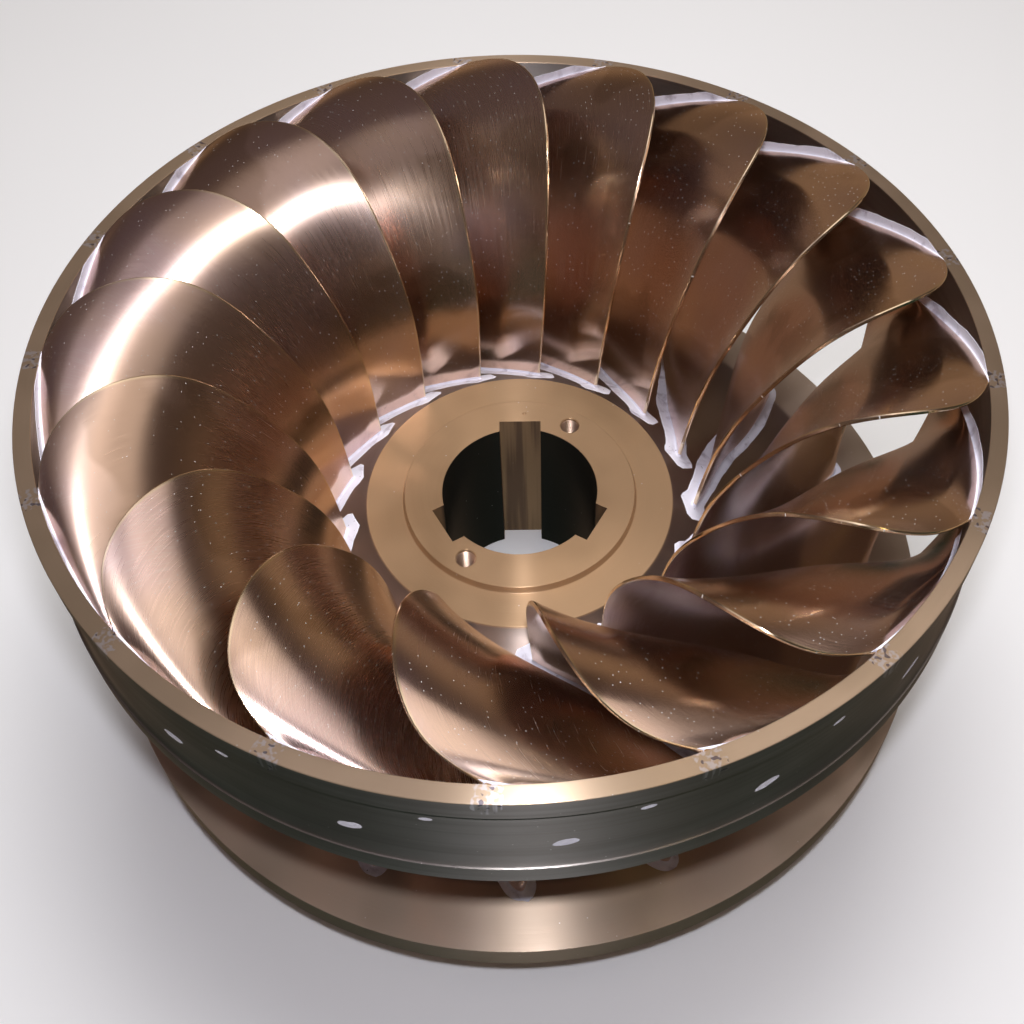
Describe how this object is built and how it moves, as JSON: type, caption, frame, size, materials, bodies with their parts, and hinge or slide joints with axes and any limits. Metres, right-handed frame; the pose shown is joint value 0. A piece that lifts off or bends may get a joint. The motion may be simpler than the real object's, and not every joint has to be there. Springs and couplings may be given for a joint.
{
  "type": "francis turbine runner",
  "caption": "Cast bronze Francis turbine runner: a crown with keyed hub bore, a thin outer band, and twisted blades between them, lying crown down.",
  "frame": {"origin": "on the runner's axis, in the plane of the hub's foot, which is the lowest face", "axes": "+Z along the runner's axis towards the discharge side, +Y through the middle of one keyway"},
  "size_m": [0.704, 0.7036, 0.3758],
  "materials": {
    "crown_bronze": "turned satin bronze",
    "band_bronze": "turned satin bronze",
    "blade_bronze": "polished bronze"
  },
  "bodies": {
    "root": {"crown": "crown_bronze", "band": "band_bronze", "blade_01": "blade_bronze", "blade_02": "blade_bronze", "blade_03": "blade_bronze", "blade_04": "blade_bronze", "blade_05": "blade_bronze", "blade_06": "blade_bronze", "blade_07": "blade_bronze", "blade_08": "blade_bronze", "blade_09": "blade_bronze", "blade_10": "blade_bronze", "blade_11": "blade_bronze", "blade_12": "blade_bronze", "blade_13": "blade_bronze", "blade_14": "blade_bronze", "blade_15": "blade_bronze", "blade_16": "blade_bronze", "blade_17": "blade_bronze"}
  },
  "joints": []
}
